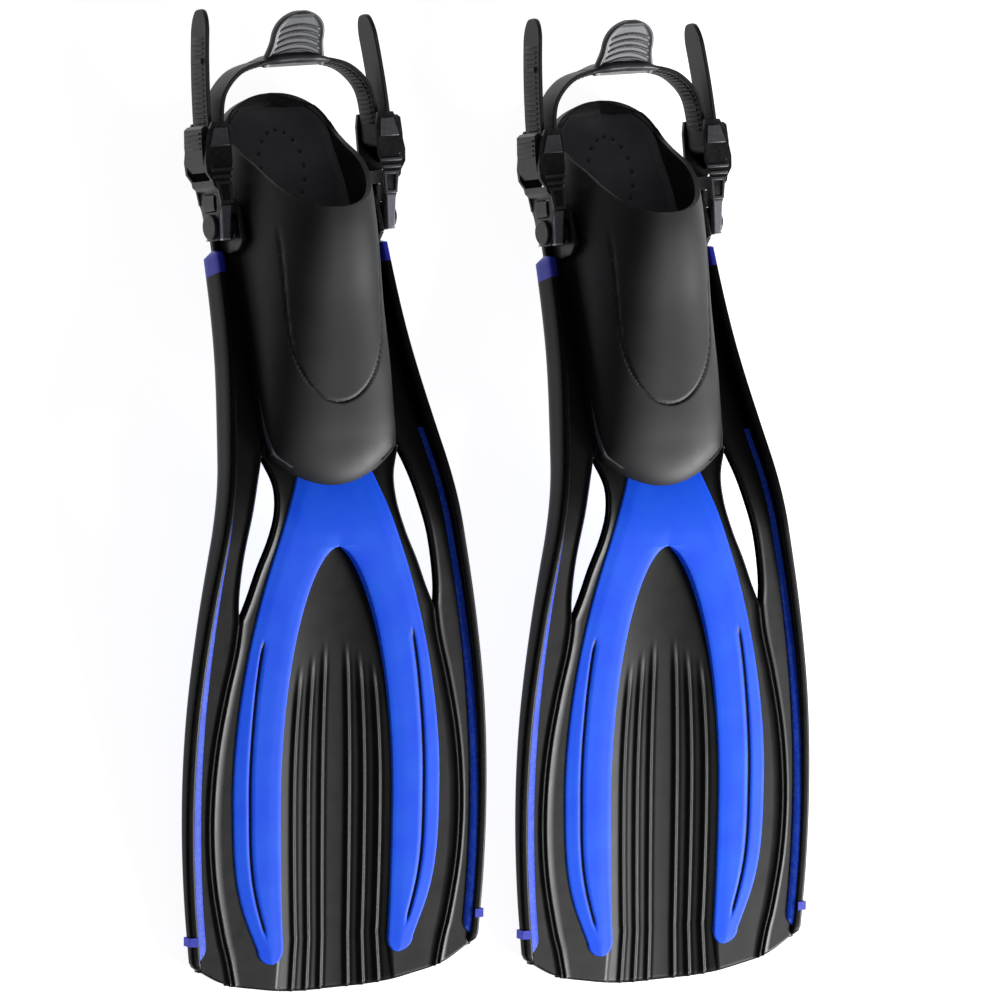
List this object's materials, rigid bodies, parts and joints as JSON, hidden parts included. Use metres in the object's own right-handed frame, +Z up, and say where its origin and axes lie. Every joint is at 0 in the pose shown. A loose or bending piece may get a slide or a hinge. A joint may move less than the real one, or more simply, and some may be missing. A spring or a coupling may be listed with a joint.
{
  "type": "open-heel swim fins",
  "caption": "Open-heel swim fins with soft foot pockets, ribbed blades with side rails, and heel straps on swivelling lever buckles.",
  "frame": {"origin": "on the floor at the middle of the pair's bounding box", "axes": "+X across the pair from the left fin to the right fin, +Y from the blade tips to the heels, +Z up"},
  "size_m": [0.4858, 0.6626, 0.0894],
  "materials": {
    "pocket_rubber": "semi-matt",
    "blade_plastic": "satin",
    "channel_rubber": "satin",
    "blue_elastomer": "satin",
    "buckle_plastic": "satin",
    "strap_rubber": "semi-matt",
    "pad_rubber": "satin",
    "pin_steel": "dark oxide"
  },
  "bodies": {
    "left_fin": {"left_blade_plate": "blade_plastic", "left_channel_panel": "channel_rubber", "left_foot_pocket": "pocket_rubber", "left_rail_band_inner": "blue_elastomer", "left_rail_band_outer": "blue_elastomer", "left_rail_inlay_inner": "blue_elastomer", "left_rail_inlay_outer": "blue_elastomer", "left_rail_inner": "blade_plastic", "left_rail_outer": "blade_plastic", "left_sole_tread": "pocket_rubber", "left_strap_post_inner": "buckle_plastic", "left_strap_post_outer": "buckle_plastic", "left_wishbone_panel": "blue_elastomer"},
    "left_strap_assembly": {"left_buckle_frame_inner": "buckle_plastic", "left_buckle_frame_outer": "buckle_plastic", "left_heel_pad": "pad_rubber", "left_heel_strap": "strap_rubber", "left_lever_pin_inner": "pin_steel", "left_lever_pin_outer": "pin_steel", "left_strap_roller_inner": "pin_steel", "left_strap_roller_outer": "pin_steel"},
    "left_lever_outer": {"left_buckle_lever_outer": "buckle_plastic"},
    "left_button_outer": {"left_release_button_outer": "buckle_plastic"},
    "left_lever_inner": {"left_buckle_lever_inner": "buckle_plastic"},
    "left_button_inner": {"left_release_button_inner": "buckle_plastic"},
    "right_fin": {"right_blade_plate": "blade_plastic", "right_channel_panel": "channel_rubber", "right_foot_pocket": "pocket_rubber", "right_rail_band_inner": "blue_elastomer", "right_rail_band_outer": "blue_elastomer", "right_rail_inlay_inner": "blue_elastomer", "right_rail_inlay_outer": "blue_elastomer", "right_rail_inner": "blade_plastic", "right_rail_outer": "blade_plastic", "right_sole_tread": "pocket_rubber", "right_strap_post_inner": "buckle_plastic", "right_strap_post_outer": "buckle_plastic", "right_wishbone_panel": "blue_elastomer"},
    "right_strap_assembly": {"right_buckle_frame_inner": "buckle_plastic", "right_buckle_frame_outer": "buckle_plastic", "right_heel_pad": "pad_rubber", "right_heel_strap": "strap_rubber", "right_lever_pin_inner": "pin_steel", "right_lever_pin_outer": "pin_steel", "right_strap_roller_inner": "pin_steel", "right_strap_roller_outer": "pin_steel"},
    "right_lever_outer": {"right_buckle_lever_outer": "buckle_plastic"},
    "right_button_outer": {"right_release_button_outer": "buckle_plastic"},
    "right_lever_inner": {"right_buckle_lever_inner": "buckle_plastic"},
    "right_button_inner": {"right_release_button_inner": "buckle_plastic"}
  },
  "joints": [
    {"name": "left_strap_swivel", "type": "hinge", "parent": "left_fin", "child": "left_strap_assembly", "pos_m": [-0.1275, 0.18911, 0.03713], "axis": [1, 0, 0], "range_deg": [-10, 85]},
    {"name": "left_lever_outer_hinge", "type": "hinge", "parent": "left_strap_assembly", "child": "left_lever_outer", "pos_m": [-0.0553, 0.22811, 0.03713], "axis": [0, 0, -1], "range_deg": [0, 60]},
    {"name": "left_button_outer_press", "type": "slide", "parent": "left_strap_assembly", "child": "left_button_outer", "axis": [-1, 0, 0], "range_m": [0, 0.0025], "stiffness_N_per_m": 600},
    {"name": "left_lever_inner_hinge", "type": "hinge", "parent": "left_strap_assembly", "child": "left_lever_inner", "pos_m": [-0.1997, 0.22811, 0.03713], "axis": [0, 0, 1], "range_deg": [0, 60]},
    {"name": "left_button_inner_press", "type": "slide", "parent": "left_strap_assembly", "child": "left_button_inner", "axis": [1, 0, 0], "range_m": [0, 0.0025], "stiffness_N_per_m": 600},
    {"name": "right_strap_swivel", "type": "hinge", "parent": "right_fin", "child": "right_strap_assembly", "pos_m": [0.1275, 0.17111, 0.03713], "axis": [1, 0, 0], "range_deg": [-10, 85]},
    {"name": "right_lever_outer_hinge", "type": "hinge", "parent": "right_strap_assembly", "child": "right_lever_outer", "pos_m": [0.1997, 0.21011, 0.03713], "axis": [0, 0, -1], "range_deg": [0, 60]},
    {"name": "right_button_outer_press", "type": "slide", "parent": "right_strap_assembly", "child": "right_button_outer", "axis": [-1, 0, 0], "range_m": [0, 0.0025], "stiffness_N_per_m": 600},
    {"name": "right_lever_inner_hinge", "type": "hinge", "parent": "right_strap_assembly", "child": "right_lever_inner", "pos_m": [0.0553, 0.21011, 0.03713], "axis": [0, 0, 1], "range_deg": [0, 60]},
    {"name": "right_button_inner_press", "type": "slide", "parent": "right_strap_assembly", "child": "right_button_inner", "axis": [1, 0, 0], "range_m": [0, 0.0025], "stiffness_N_per_m": 600},
    {"name": "pair_separation", "type": "slide", "parent": "left_fin", "child": "right_fin", "axis": [1, 0, 0], "range_m": [0, 0.15]}
  ]
}
